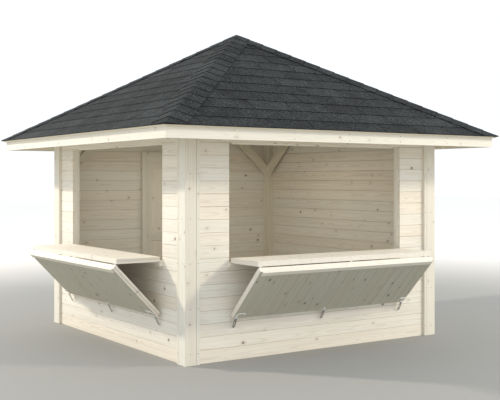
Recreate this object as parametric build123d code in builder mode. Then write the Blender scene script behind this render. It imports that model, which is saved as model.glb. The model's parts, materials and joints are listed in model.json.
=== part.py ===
"""Wooden market stall: a square hut of tongued boards under a hipped, shingled roof.

Two of its walls have a serving opening, each closed by a folding pair of leaves: a counter
hinged at the sill, and a flap hinged at the counter's outer edge. They are drawn as in use,
with the counter out and the flap hanging back to the wall. The back wall has a framed door.

The origin is on the ground at the middle of the plan, in millimetres, with +Z up.
The front wall faces -Y and the side wall with the second opening faces -X.
"""
import math
import os

from build123d import *

os.makedirs("parts", exist_ok=True)

# Walls
wall_face = 1462          # from the middle of the plan to the boards' outer face
board_thick = 28
course = 114              # height of one wall board
courses = 19
board_vee = 4             # depth and half width of the V joint between boards

# Corners
post_size = 90
trim_thick = 28           # cover boards outside the corners
trim_wide = 84            # bare face of a cover board beside its neighbour's edge
batten_wide = 30          # upright batten beside each cover board
trim_gap = 3              # shadow line between cover board and batten
trim_gap_deep = 20

# Serving openings
opening_half = 1025
head_course = 17          # the head board stands on this many courses
counter_course = 8        # the counter's top is level with this many courses
stud_wide = 70
stud_deep = 45
sill_rail = 45            # height of the rail under the sill
head_rail = 70
stop_thick = 13           # beads that the closed leaves come up against
stop_deep = 35
stop_in = 10              # from the boards' inner face to the beads
hasp_room = 7             # each side of a hasp, in its gap in the head bead
ledge_high = 33
ledge_deep = 38
ledge_horn = 24           # how far the ledge runs past the opening at each side

# Folding leaves
leaf_thick = 45
leaf_gap = 6              # at each end, between a leaf and the opening
counter_deep = 430
flap_off_wall = 18.6      # from the boards to the hanging flap's free edge
leaf_vee = 3
groove_wide = 5           # tongue groove left open along one end of each leaf
groove_deep = 8
groove_in = 16            # from the groove to the leaf's inner face
rib_wide = 44             # batten on the flap, beside its joint with the counter
rib_thick = 15
rib_inset = 22            # from the rib's end to the leaf's end, clear of the stops
sill_gap = 5              # room for two hinge plates under the counter
head_gap = 6.5            # over the closed leaves
fold_gap = 6              # between counter and flap when they are in line
stop_gap = 5.5            # between the closed leaves and the stop beads

# Ironwork of the leaves
plate = 2.2               # thickness of hinge plates and straps
plate_long = 23
plate_clear = 5           # from a hinge's axis to its plates
hinge_wide = 36
knuckle = 4               # radius
knuckle_gap = 0.4         # between one knuckle and the next
knuckle_room = 1.5        # round a knuckle let into wood
hinge_inset = 22          # from a leaf's end to the middle of its end hinge
hasp_wide = 28
hasp_long = 96
hasp_inset = 29           # from the leaf's end to the middle of its end hasp
hasp_lean = 17            # degrees from the flap's own line
hasp_back = 3             # from the flap's free edge to the hasps' axis
hasp_rise = 5.2           # from the flap's inner face to the hasps' axis
hasp_slot_wide = 9
hasp_slot_long = 46
hasp_slot_end = 16        # from the strap's end to its slot
hasp_plate_long = 26
handle_half = 40          # between the middle of a handle and one of its legs
handle_rod = 4            # radius
handle_reach = 40         # from a handle's feet to its bar
handle_lean = 74          # degrees from the flap's face outward, back towards its hinge
handle_foot = 5.5         # radius
handle_foot_high = 10
handle_bend = 11
handle_inset = 58         # from the leaf's end to the handle's middle
handle_up = 42            # from the flap's free edge to the handle's feet

# Door in the back wall
door_half = 380
door_thick = 40
door_low = 46
door_head_high = 111      # of the board over the door
door_gap = 7
jamb_wide = 41
door_stop = 12
door_stop_gap = 5
stile = 80
top_rail = 78
mid_rail_low = 880
mid_rail = 90
bottom_rail = 140
panel_inset = 10
door_axis_out = 6
door_barrel = 6           # radius
door_plate = 3
door_plate_long = 60
door_hinge_high = 80
door_hinge_up = 204       # from the door's foot to the middle of its lowest hinge
door_hinge_down = 170     # from the door's top to the middle of its highest hinge
lever_high = 1010
lever_inset = 45
lever_long = 120
lever_stand = 38
lever_neck = 9            # radius
lever_deep = 12
lever_tall = 20
lever_round = 5
lever_plate_wide = 34
lever_plate_high = 150
lever_plate_thick = 4
lever_plate_round = 8

# Roof
pitch = 30.1
eave_reach = 485          # from the walls to the edge of the shingles
rafter_heel = 65.1        # from the top plates to the rafters' upper edge, over the walls' faces
shingle_lap = 190         # one course, measured up the slope
first_lap = 175
shingle_thin = 4          # at the top of a course, and twice that at its lower edge
shingle_over = 14         # shingles past the roof boards
roof_board = 18
fascia_inset = 47         # from the edge of the shingles to the fascia boards' face
fascia_thick = 20
fascia_high = 107
rafter_deep = 95
rafter_thick = 45
rafter_step = 625
hip_deep = 108
boss_half = 62            # block where the rafters meet
boss_sides = 8
boss_long = 250
plate_wide = 73
plate_high = 70
cap_lap = 166             # exposed length of one hip cap
cap_half = 165            # how far a cap reaches down each side of the hip
cap_thin = 4
cap_fold = 20             # how far a cap's blank runs past the hip before it is trimmed
brace_deep = 95
brace_thick = 45
brace_drop = 503          # from the walls' top to the foot of a brace
brace_rise = 42           # degrees
brace_lap = 54            # how far a brace passes up beside the top plate

# Worked out from the sizes above
facing = {"front": (0, -1), "side": (-1, 0), "back": (0, 1), "right": (1, 0)}
openings = ("front", "side")
wall_top = course * courses
inner_face = wall_face - board_thick
head_low = course * head_course
counter_low = course * counter_course - leaf_thick
sill_top = counter_low - sill_gap
slope = math.tan(math.radians(pitch))
level = math.cos(math.radians(pitch))
plate_top = wall_top + plate_high
roof_thick = (2 * shingle_thin + roof_board) / level
peak = plate_top + rafter_heel + roof_thick + wall_face * slope
eave_half = wall_face + eave_reach
leaf_half = opening_half - leaf_gap

# The counter turns on a line in the middle of the sill gap, in front of the boards
stop_face = board_thick + stop_in
axis_out = leaf_thick + sill_gap / 2 + stop_gap - stop_face
axis_high = sill_top + sill_gap / 2
counter_start = axis_out + plate_clear
counter_end = counter_start + counter_deep

# The flap turns on a line under the counter's outer edge
flap_under = 3.5
flap_axis_out = counter_end + fold_gap / 2
flap_axis_high = counter_low - flap_under
flap_start = fold_gap / 2
flap_foot = axis_high + (counter_end - axis_out) + fold_gap
flap_long = head_low - head_gap - flap_foot
flap_end = flap_start + flap_long
flap_inner = flap_under + leaf_thick
swept = math.hypot(flap_end, flap_under)
flap_hang = math.acos((flap_axis_out - flap_off_wall) / swept) - math.atan2(flap_under, flap_end)
hasp_at = flap_end - hasp_back
hasp_off = flap_inner + hasp_rise
hinge_places = (-leaf_half + hinge_inset, 0, leaf_half - hinge_inset)
hasp_places = (-leaf_half + hasp_inset, 0, leaf_half - hasp_inset)
handle_places = (-leaf_half + handle_inset, leaf_half - handle_inset)
outer_knuckles = ((0, 1 / 3), (2 / 3, 1))
middle_knuckle = ((1 / 3, 2 / 3),)


def save(piece, name):
    piece.part.label = name
    export_step(piece.part, f"parts/{name}.step")


def outward(side):
    return Vector(*facing[side], 0)


def along(side):
    return outward(side).cross(Vector(0, 0, 1))


def section(side, start=0.0):
    """Plane across a wall: x is out from the boards' face, y is up from the ground."""
    origin = outward(side) * wall_face + along(side) * start
    return Plane(origin=origin, x_dir=outward(side), z_dir=along(side))


def elevation(side, out):
    """Plane facing out from a wall, at a distance from the boards' face, with y up."""
    origin = outward(side) * (wall_face + out)
    return Plane(origin=origin, x_dir=-along(side), z_dir=outward(side))


def leaf_section(side, start=0.0):
    """Plane across a flap: x runs from its hinge to its free edge, y from its outer face in."""
    turn = math.pi + flap_hang
    origin = section(side, start).from_local_coords(Vector(flap_axis_out, flap_axis_high, 0))
    lean = outward(side) * math.cos(turn) + Vector(0, 0, 1) * math.sin(turn)
    return Plane(origin=origin, x_dir=lean, z_dir=along(side))


def roof_section(side, start=0.0):
    """Plane across the roof: x is out from the middle of the plan, y is up."""
    return Plane(origin=along(side) * start, x_dir=outward(side), z_dir=along(side))


def roof_under(half):
    """Height of the roof boards' underside at a distance from the middle of the plan."""
    return peak - roof_thick - half * slope


def on_slope(down, deep):
    """Point of a roof section: how far down the slope, and how deep under the shingles."""
    lean = math.radians(pitch)
    across = down * math.cos(lean) - deep * math.sin(lean)
    return across, peak - down * math.sin(lean) - deep * math.cos(lean)


def corners(low_x, high_x, low_y, high_y):
    return [(low_x, low_y), (high_x, low_y), (high_x, high_y), (low_x, high_y)]


def wall_outline(low, high):
    """Section of stacked boards, with a V joint on both faces at each course."""
    joints = [course * k for k in range(1, courses)]
    joints = [z for z in joints if low + board_vee < z < high - board_vee]
    outer = [(0, low)]
    for z in joints:
        outer += [(0, z - board_vee), (-board_vee, z), (0, z + board_vee)]
    outer.append((0, high))
    return outer + [(-board_thick - x, z) for x, z in reversed(outer)]


def leaf_outline():
    """Section of a leaf across its boards, from its outer face up to its inner one."""
    seams = [-leaf_half + course * k for k in range(1, 1 + int(2 * leaf_half / course))]
    lower = [(-leaf_half, 0)]
    for x in seams:
        lower += [(x - leaf_vee, 0), (x, leaf_vee), (x + leaf_vee, 0)]
    lower.append((leaf_half, 0))
    groove_high = leaf_thick - groove_in
    groove = [
        (leaf_half, groove_high - groove_wide), (leaf_half - groove_deep, groove_high - groove_wide),
        (leaf_half - groove_deep, groove_high), (leaf_half, groove_high),
    ]
    return lower + groove + [(x, leaf_thick - y) for x, y in reversed(lower)]


def barrels(places, wide, shares):
    """Ends of the knuckles that one leaf of each hinge holds."""
    ends = []
    for place in places:
        for start, end in shares:
            low = place - wide / 2 + start * wide + knuckle_gap / 2
            ends.append((low, place - wide / 2 + end * wide - knuckle_gap / 2))
    return ends


def wall_piece(name, side, start, end, low, high):
    with BuildPart() as piece:
        with BuildSketch(section(side, start)):
            Polygon(*wall_outline(low, high), align=None)
        extrude(amount=end - start)
    save(piece, name)


# The front and back walls run through to the corners, and the others stand between them
frame_half = door_half + door_gap + jamb_wide
for side, wall_end in (("front", wall_face), ("side", inner_face)):
    wall_piece(f"{side}_wall_lower", side, -wall_end, wall_end, 0, sill_top)
    wall_piece(f"{side}_wall_left_pier", side, opening_half, wall_end, sill_top, wall_top)
    wall_piece(f"{side}_wall_right_pier", side, -wall_end, -opening_half, sill_top, wall_top)
    wall_piece(f"{side}_wall_head", side, -opening_half, opening_half, head_low, wall_top)
wall_piece("right_wall", "right", -inner_face, inner_face, 0, wall_top)
wall_piece("back_wall_left", "back", frame_half, wall_face, 0, wall_top)
wall_piece("back_wall_right", "back", -wall_face, -frame_half, 0, wall_top)
wall_piece("back_wall_head", "back", -frame_half, frame_half, head_low, wall_top)

# Square posts inside the four corners
post_middle = inner_face - post_size / 2
with BuildPart() as posts:
    with BuildSketch():
        with GridLocations(2 * post_middle, 2 * post_middle, 2, 2):
            Rectangle(post_size, post_size)
    extrude(amount=wall_top)
save(posts, "corner_posts")

# Cover boards and battens outside the corners, one L of boards at each
trim_face = wall_face + trim_thick
cover_end = wall_face - trim_wide
groove_end = cover_end - trim_gap
batten_end = groove_end - batten_wide
groove_back = trim_face - trim_gap_deep
trim_leg = [
    (wall_face, batten_end), (trim_face, batten_end), (trim_face, groove_end),
    (groove_back, groove_end), (groove_back, cover_end), (trim_face, cover_end),
]
with BuildPart() as trims:
    for turn in range(4):
        with BuildSketch(Plane.XY.rotated((0, 0, 90 * turn))):
            other_leg = [(y, x) for x, y in reversed(trim_leg)]
            Polygon((wall_face, wall_face), *trim_leg, (trim_face, trim_face), *other_leg, align=None)
        extrude(amount=wall_top)
save(trims, "corner_trims")

# Studs and rails behind the boards round the two serving openings
stud_back = board_thick + stud_deep
with BuildPart() as studs:
    for side in openings:
        for start in (-opening_half - stud_wide, opening_half):
            with BuildSketch(section(side, start)):
                Polygon(*corners(-stud_back, -board_thick, 0, wall_top), align=None)
            extrude(amount=stud_wide)
save(studs, "opening_studs")

with BuildPart() as rails:
    for side in openings:
        with BuildSketch(section(side, -opening_half)):
            Polygon(*corners(-stud_back, -board_thick, sill_top - sill_rail, sill_top), align=None)
            Polygon(*corners(-stud_back, -board_thick, head_low, head_low + head_rail), align=None)
        extrude(amount=2 * opening_half)
save(rails, "opening_rails")

# Beads inside the opening that the closed leaves meet, with gaps at the head for the hasps
notch_half = hasp_wide / 2 + hasp_room
bead_ends = sorted(place + hand * notch_half for place in hasp_places for hand in (-1, 1))[1:-1]
stop_back = stop_face + stop_deep
with BuildPart() as beads:
    for side in openings:
        for start in (-opening_half, opening_half - stop_thick):
            with BuildSketch(section(side, start)):
                Polygon(*corners(-stop_back, -stop_face, sill_top, head_low), align=None)
            extrude(amount=stop_thick)
        for start, end in zip(bead_ends[::2], bead_ends[1::2]):
            with BuildSketch(section(side, start)):
                Polygon(*corners(-stop_back, -stop_face, head_low - stop_thick, head_low), align=None)
            extrude(amount=end - start)
save(beads, "opening_stops")

# Ledge under each counter, with shallow wells for the hinge knuckles
ledge_half = opening_half + ledge_horn
with BuildPart() as ledges:
    for side in openings:
        with BuildSketch(section(side, -ledge_half)):
            Polygon(*corners(0, ledge_deep, sill_top - ledge_high, sill_top), align=None)
        extrude(amount=2 * ledge_half)
        for place in hinge_places:
            with BuildSketch(section(side, place - hinge_wide / 2 - 1)):
                with Locations((axis_out, axis_high)):
                    Circle(knuckle + knuckle_room)
            extrude(amount=hinge_wide + 2, mode=Mode.SUBTRACT)
save(ledges, "counter_ledges")

# Hinge leaves fixed on the ledges
with BuildPart() as ledge_hinges:
    for side in openings:
        for place in hinge_places:
            with BuildSketch(section(side, place - hinge_wide / 2)):
                Polygon(*corners(axis_out + plate_clear, axis_out + plate_long, sill_top, sill_top + plate),
                        align=None)
            extrude(amount=hinge_wide)
        for low, high in barrels(hinge_places, hinge_wide, outer_knuckles):
            with BuildSketch(section(side, low)):
                Polygon(*corners(axis_out, axis_out + plate_clear + 1, sill_top, sill_top + plate), align=None)
                with Locations((axis_out, axis_high)):
                    Circle(knuckle)
            extrude(amount=high - low)
save(ledge_hinges, "ledge_hinges")

for side in openings:
    # Counter, with its boards running out from the wall
    start = section(side).from_local_coords(Vector(counter_start, counter_low, 0))
    with BuildPart() as counter:
        with BuildSketch(Plane(origin=start, x_dir=-along(side), z_dir=outward(side))):
            Polygon(*leaf_outline(), align=None)
        extrude(amount=counter_deep)
    save(counter, f"{side}_counter")

    # Flap, with the rib beside its joint with the counter
    lean = leaf_section(side)
    start = lean.from_local_coords(Vector(flap_start, flap_under, 0))
    rib_half = leaf_half - rib_inset
    with BuildPart() as flap:
        with BuildSketch(Plane(origin=start, x_dir=-along(side), z_dir=lean.x_dir)):
            Polygon(*leaf_outline(), align=None)
        extrude(amount=flap_long)
        with BuildSketch(leaf_section(side, -rib_half)):
            Polygon(*corners(flap_start, flap_start + rib_wide, flap_inner - leaf_vee, flap_inner + rib_thick),
                    align=None)
        extrude(amount=2 * rib_half)
    save(flap, f"{side}_flap")

    # Hinge leaves under the counter, of its own hinges and of the flap's
    plate_low = counter_low - plate
    with BuildPart() as counter_hinges:
        for place in hinge_places:
            with BuildSketch(section(side, place - hinge_wide / 2)):
                Polygon(*corners(axis_out + plate_clear, axis_out + plate_long, plate_low, counter_low),
                        align=None)
                Polygon(*corners(flap_axis_out - plate_long, flap_axis_out - plate_clear, plate_low, counter_low),
                        align=None)
            extrude(amount=hinge_wide)
        for low, high in barrels(hinge_places, hinge_wide, middle_knuckle):
            with BuildSketch(section(side, low)):
                Polygon(*corners(axis_out, axis_out + plate_clear + 1, plate_low, counter_low), align=None)
                with Locations((axis_out, axis_high)):
                    Circle(knuckle)
            extrude(amount=high - low)
        for low, high in barrels(hinge_places, hinge_wide, outer_knuckles):
            with BuildSketch(section(side, low)):
                Polygon(*corners(flap_axis_out - plate_clear - 1, flap_axis_out, plate_low, counter_low),
                        align=None)
                with Locations((flap_axis_out, flap_axis_high)):
                    Circle(knuckle)
            extrude(amount=high - low)
    save(counter_hinges, f"{side}_counter_hinges")

    # Hinge leaves on the flap's outer face, and the hasps' plates on its inner one
    with BuildPart() as flap_plates:
        for place in hinge_places:
            with BuildSketch(leaf_section(side, place - hinge_wide / 2)):
                Polygon(*corners(plate_clear, plate_long, flap_under - plate, flap_under), align=None)
            extrude(amount=hinge_wide)
        for low, high in barrels(hinge_places, hinge_wide, middle_knuckle):
            with BuildSketch(leaf_section(side, low)):
                Polygon(*corners(0, plate_clear + 1, flap_under - plate, flap_under), align=None)
                Circle(knuckle)
            extrude(amount=high - low)
        for place in hasp_places:
            with BuildSketch(leaf_section(side, place - hasp_wide / 2)):
                plate_end = hasp_at - plate_clear
                Polygon(*corners(plate_end - hasp_plate_long, plate_end, flap_inner, flap_inner + plate),
                        align=None)
            extrude(amount=hasp_wide)
        for low, high in barrels(hasp_places, hasp_wide, outer_knuckles):
            with BuildSketch(leaf_section(side, low)):
                Polygon(*corners(hasp_at - plate_clear - 1, hasp_at, flap_inner, flap_inner + plate), align=None)
                with Locations((hasp_at, hasp_off)):
                    Circle(knuckle)
            extrude(amount=high - low)
    save(flap_plates, f"{side}_flap_plates")

    # Hasps: slotted straps that hang from the flap's free edge
    swing = math.radians(hasp_lean)
    hasp_origin = lean.from_local_coords(Vector(hasp_at, hasp_off, 0))
    hasp_down = lean.x_dir * math.cos(swing) + lean.y_dir * math.sin(swing)
    hasp_face = along(side).cross(hasp_down)
    slot_middle = hasp_long - hasp_slot_end - hasp_slot_long / 2
    with BuildPart() as hasps:
        for place in hasp_places:
            middle = hasp_origin + along(side) * place - hasp_face * (plate / 2)
            with BuildSketch(Plane(origin=middle, x_dir=hasp_down, z_dir=hasp_face)):
                Polygon(*corners(plate_clear, hasp_long - hasp_wide / 2, -hasp_wide / 2, hasp_wide / 2),
                        align=None)
                Polygon(*corners(0, plate_clear + 1, knuckle_gap / 2 - hasp_wide / 6, hasp_wide / 6 - knuckle_gap / 2),
                        align=None)
                with Locations((hasp_long - hasp_wide / 2, 0)):
                    Circle(hasp_wide / 2)
                with Locations((slot_middle, 0)):
                    SlotOverall(hasp_slot_long, hasp_slot_wide, mode=Mode.SUBTRACT)
            extrude(amount=plate)
        for low, high in barrels(hasp_places, hasp_wide, middle_knuckle):
            with BuildSketch(Plane(origin=hasp_origin + along(side) * low, x_dir=hasp_down, z_dir=along(side))):
                Circle(knuckle)
            extrude(amount=high - low)
    save(hasps, f"{side}_hasps")

    # Bow handles near the ends of the flap's inner face, leaning back over it towards the hinge
    tilt = math.radians(handle_lean)
    bow_up = lean.y_dir * math.cos(tilt) - lean.x_dir * math.sin(tilt)
    with BuildPart() as handles:
        for place in handle_places:
            foot = lean.from_local_coords(Vector(flap_end - handle_up, flap_inner, place))
            heel = foot + lean.y_dir * (handle_foot_high / 2)
            with BuildLine(Plane(origin=heel, x_dir=along(side), z_dir=along(side).cross(bow_up))) as path:
                FilletPolyline(
                    (-handle_half, 0), (-handle_half, handle_reach),
                    (handle_half, handle_reach), (handle_half, 0), radius=handle_bend)
            with BuildSketch(Plane(origin=path.line @ 0, z_dir=path.line % 0)):
                Circle(handle_rod)
            sweep(path=path.line)
            for end in (-handle_half, handle_half):
                base = foot + along(side) * end
                with BuildSketch(Plane(origin=base, x_dir=along(side), z_dir=lean.y_dir)):
                    Circle(handle_foot)
                extrude(amount=handle_foot_high)
    save(handles, f"{side}_handles")

# Door frame in the back wall: jambs with their stops, head and threshold
door_open = door_half + door_gap
door_head_low = head_low - door_head_high
door_high = door_head_low - door_gap
stop_start = door_thick + door_stop_gap
with BuildPart() as jambs:
    for hand in (-1, 1):
        with BuildSketch():
            Polygon(
                (hand * door_open, wall_face), (hand * frame_half, wall_face),
                (hand * frame_half, wall_face - stud_back),
                (hand * (door_open - door_stop), wall_face - stud_back),
                (hand * (door_open - door_stop), wall_face - stop_start),
                (hand * door_open, wall_face - stop_start), align=None)
        extrude(amount=head_low)
save(jambs, "door_jambs")

with BuildPart() as door_head:
    with BuildSketch(section("back", -door_open)):
        Polygon(*corners(-stop_start, 0, door_head_low, head_low), align=None)
    extrude(amount=2 * door_open)
    with BuildSketch(section("back", door_stop - door_open)):
        Polygon(*corners(-stud_back, -stop_start, door_head_low - door_stop, head_low), align=None)
    extrude(amount=2 * (door_open - door_stop))
save(door_head, "door_head")

with BuildPart() as threshold:
    with BuildSketch(section("back", -door_open)):
        Polygon(*corners(-stop_start, 0, 0, door_low - door_gap), align=None)
    extrude(amount=2 * door_open)
save(threshold, "door_threshold")

# Door leaf: stiles and rails, with sunk panels on both faces
panels = (
    (door_low + bottom_rail, mid_rail_low),
    (mid_rail_low + mid_rail, door_high - top_rail),
)
with BuildPart() as door:
    with BuildSketch(elevation("back", -door_thick)):
        Polygon(*corners(-door_half, door_half, door_low, door_high), align=None)
    extrude(amount=door_thick)
    for out in (-door_thick, -panel_inset):
        with BuildSketch(elevation("back", out)):
            for low, high in panels:
                Polygon(*corners(stile - door_half, door_half - stile, low, high), align=None)
        extrude(amount=panel_inset, mode=Mode.SUBTRACT)
save(door, "door_leaf")

# Door hinges: plates on the outer faces of jamb and leaf, and barrels in three parts
door_axis = (-door_open + door_gap / 2, wall_face + door_axis_out)
low_hinge = door_low + door_hinge_up
top_hinge = door_high - door_hinge_down
door_hinge_heights = (low_hinge, (low_hinge + top_hinge) / 2, top_hinge)
for name, reach, shares in (
    ("door_frame_hinges", -jamb_wide, outer_knuckles),
    ("door_hinges", door_plate_long, middle_knuckle),
):
    with BuildPart() as hinges:
        for low, high in barrels(door_hinge_heights, door_hinge_high, shares):
            with BuildSketch(Plane.XY.offset(low)):
                with Locations(door_axis):
                    Circle(door_barrel)
                    Polygon(*corners(0, reach, -door_axis_out, door_plate - door_axis_out), align=None)
            extrude(amount=high - low)
    save(hinges, name)

# Lever handles on both faces of the door, at the edge away from its hinges
lever_x = door_half - lever_inset
with BuildPart() as levers:
    for face, out in ((wall_face, 1), (wall_face - door_thick, -1)):
        with BuildSketch(Plane(origin=(lever_x, face, lever_high), x_dir=(1, 0, 0), z_dir=(0, out, 0))):
            RectangleRounded(lever_plate_wide, lever_plate_high, lever_plate_round)
        extrude(amount=lever_plate_thick)
        with BuildSketch(Plane(origin=(lever_x, face, lever_high), x_dir=(1, 0, 0), z_dir=(0, out, 0))):
            Circle(lever_neck)
        extrude(amount=lever_stand)
        grip = (lever_x + lever_neck, face + out * lever_stand, lever_high)
        with BuildSketch(Plane(origin=grip, x_dir=(0, 1, 0), z_dir=(-1, 0, 0))):
            RectangleRounded(lever_deep, lever_tall, lever_round)
        extrude(amount=lever_long)
save(levers, "door_levers")

# Top plates that the rafters sit on
plate_back = wall_face - plate_wide
for name, sides, half in (
    ("end_plates", ("front", "back"), wall_face),
    ("side_plates", ("side", "right"), plate_back),
):
    with BuildPart() as plates:
        for side in sides:
            with BuildSketch(section(side, -half)):
                Polygon(*corners(-plate_wide, 0, wall_top, plate_top), align=None)
            extrude(amount=2 * half)
    save(plates, name)

# Knee braces: two at each post, rising along the walls to the top plates
brace_start = inner_face - post_size
brace_low = wall_top - brace_drop
brace_top = wall_top + brace_lap
brace_tan = math.tan(math.radians(brace_rise))
brace_end = brace_start - (brace_top - brace_low) / brace_tan
brace_outline = [
    (brace_start, brace_low), (brace_end, brace_top),
    (brace_end + brace_deep / math.sin(math.radians(brace_rise)), brace_top),
    (brace_start, brace_low + brace_deep / math.cos(math.radians(brace_rise))),
]
with BuildPart() as braces:
    for side in facing:
        with BuildSketch(elevation(side, -stud_back - brace_thick)):
            Polygon(*brace_outline, align=None)
            Polygon(*[(-x, z) for x, z in brace_outline], align=None)
        extrude(amount=brace_thick)
save(braces, "knee_braces")

# Rafters: one in the middle of each slope, and shorter ones that end at the hips
fascia_half = eave_half - fascia_inset
tail = fascia_half - fascia_thick
hip_rise = slope / math.sqrt(2)
with BuildPart() as rafters:
    for side in facing:
        for place in (-2, -1, 0, 1, 2):
            start = max(abs(place) * rafter_step, boss_half)
            drop = rafter_deep / level
            with BuildSketch(roof_section(side, place * rafter_step - rafter_thick / 2)):
                Polygon((start, roof_under(start)), (tail, roof_under(tail)),
                        (tail, roof_under(tail) - drop), (start, roof_under(start) - drop), align=None)
            extrude(amount=rafter_thick)
    with BuildSketch():
        for turn in (45, -45):
            Rectangle(4 * eave_half, rafter_thick, rotation=turn)
    extrude(amount=peak, mode=Mode.SUBTRACT)
    for side in facing:
        with BuildSketch(section(side, -wall_face)):
            Polygon(*corners(-plate_wide, 0, wall_top, plate_top), align=None)
        extrude(amount=2 * wall_face, mode=Mode.SUBTRACT)
save(rafters, "rafters")

# Hip rafters, backed so that both slopes' boards lie flat on them
hip_end = tail * math.sqrt(2) - rafter_thick / 2
with BuildPart() as hips:
    for turn in range(4):
        heading = Vector(1, 1, 0).normalized().rotate(Axis.Z, 90 * turn)
        flank = heading.cross(Vector(0, 0, 1))
        drop = hip_deep * math.sqrt(1 + hip_rise * hip_rise)
        with BuildSketch(Plane(origin=flank * (-rafter_thick / 2), x_dir=heading, z_dir=flank)):
            tops = [(x, roof_under(0) - x * hip_rise) for x in (boss_half, hip_end)]
            Polygon(*tops, *[(x, z - drop) for x, z in reversed(tops)], align=None)
        extrude(amount=rafter_thick)
    for side in facing:
        with BuildSketch(roof_section(side, -eave_half)):
            Polygon((0, roof_under(0)), (eave_half, roof_under(eave_half)),
                    (eave_half, peak), (0, peak), align=None)
        extrude(amount=2 * eave_half, mode=Mode.SUBTRACT)
        with BuildSketch(section(side, -wall_face)):
            Polygon(*corners(-plate_wide, 0, wall_top, plate_top), align=None)
        extrude(amount=2 * wall_face, mode=Mode.SUBTRACT)
save(hips, "hip_rafters")

half_side = 180 / boss_sides
boss_top = roof_under(boss_half / math.cos(math.radians(half_side)))
with BuildPart() as boss:
    with BuildSketch(Plane.XY.offset(boss_top - boss_long)):
        RegularPolygon(boss_half, boss_sides, major_radius=False, rotation=half_side)
    extrude(amount=boss_long)
save(boss, "apex_block")

# Four slopes, each of roof boards and shingles that meet their neighbours over the hips
slope_end = eave_half / level
board_end = slope_end - shingle_over
laps = []
lap = slope_end - first_lap
while lap > 0:
    laps.append(lap)
    lap -= shingle_lap
over = 2 * shingle_thin
under = over + roof_board
board_points = [(under * slope, under), (board_end, under), (board_end, over), (over * slope, over)]
shingle_points = [(over * slope, over), (slope_end, over), (slope_end, 0)]
for lap in laps:
    shingle_points += [(lap, shingle_thin), (lap, 0)]
shingle_points.append((shingle_thin * slope, shingle_thin))
slopes = (("front", "front"), ("side", "left"), ("back", "back"), ("right", "right"))
for side, name in slopes:
    for kind, points in (("roof_boards", board_points), ("shingles", shingle_points)):
        with BuildPart() as slab:
            with BuildSketch(roof_section(side, -eave_half)):
                Polygon(*[on_slope(down, deep) for down, deep in points], align=None)
            extrude(amount=2 * eave_half)
            with BuildSketch(Plane(origin=(0, 0, 0), x_dir=outward(side), z_dir=(0, 0, 1))):
                Polygon((0, 0), (2 * eave_half, -2 * eave_half), (2 * eave_half, 2 * eave_half), align=None)
            extrude(amount=peak, mode=Mode.INTERSECT)
        save(slab, f"{name}_{kind}")

# Hip caps: overlapping shingles bent over the four hips, joined where they meet at the peak
hip_stretch = math.sqrt(1 / level ** 2 + 1)
hip_long = eave_half * hip_stretch
cap_points = [(0, 0), (hip_long + cap_half, 0), (hip_long + cap_half, cap_thin), (hip_long, cap_thin)]
lap = hip_long
while lap > 0:
    cap_points.append((lap, 2 * cap_thin))
    lap -= cap_lap
    cap_points.append((max(lap, 0), cap_thin))
cap_sides = []
for side, name in slopes:
    down = outward(side) * level - Vector(0, 0, 1) * math.sin(math.radians(pitch))
    normal = along(side).cross(down)
    with BuildPart() as cap_side:
        for hand in (-1, 1):
            hip = (down / level + along(side) * hand).normalized()
            inward = hip.cross(normal)
            reach = cap_half if inward.dot(along(side)) * hand < 0 else -cap_half
            overlap = math.copysign(cap_fold, reach)
            start = Vector(0, 0, peak) - inward * overlap
            with BuildSketch(Plane(origin=start, x_dir=hip, z_dir=inward)):
                Polygon(*cap_points, align=None)
            extrude(amount=reach + overlap)
        with BuildSketch(Plane(origin=(0, 0, 0), x_dir=outward(side), z_dir=(0, 0, 1))):
            Polygon((0, 0), (eave_half, -eave_half), (eave_half, eave_half), align=None)
        extrude(amount=2 * peak, mode=Mode.INTERSECT)
    cap_sides.append(cap_side.part)
with BuildPart() as caps:
    for cap_part in cap_sides:
        add(cap_part)
save(caps, "hip_caps")

# Fascia boards round the eaves, mitred at the corners
fascia_low = roof_under(fascia_half) - fascia_high
for name, sides in (("end_fascias", ("front", "back")), ("side_fascias", ("side", "right"))):
    with BuildPart() as fascias:
        for side in sides:
            with BuildSketch(roof_section(side, -fascia_half)):
                Polygon((tail, fascia_low), (fascia_half, fascia_low),
                        (fascia_half, roof_under(fascia_half)), (tail, roof_under(tail)), align=None)
            extrude(amount=2 * fascia_half)
        with BuildSketch():
            for side in sides:
                spread = [(1, -1), (2 * eave_half, -2 * eave_half), (2 * eave_half, 2 * eave_half), (1, 1)]
                turned = [outward(side) * x + along(side) * y for x, y in spread]
                Polygon(*[(point.X, point.Y) for point in turned], align=None)
        extrude(amount=peak, mode=Mode.INTERSECT)
    save(fascias, name)
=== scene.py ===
"""Looks of the wooden market stall: boards, timbers, shingles, hip caps and ironwork.

Every timber is a copy of its CAD piece, cut into its boards, with its own grain and bevelled edges.
Shingles with felt under their slots, hip caps, the door's boards, nails and screws are made here.
Lengths are in metres.
"""
import json
import math
import random

import bmesh
import bpy
from mathutils import Matrix, Vector


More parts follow.
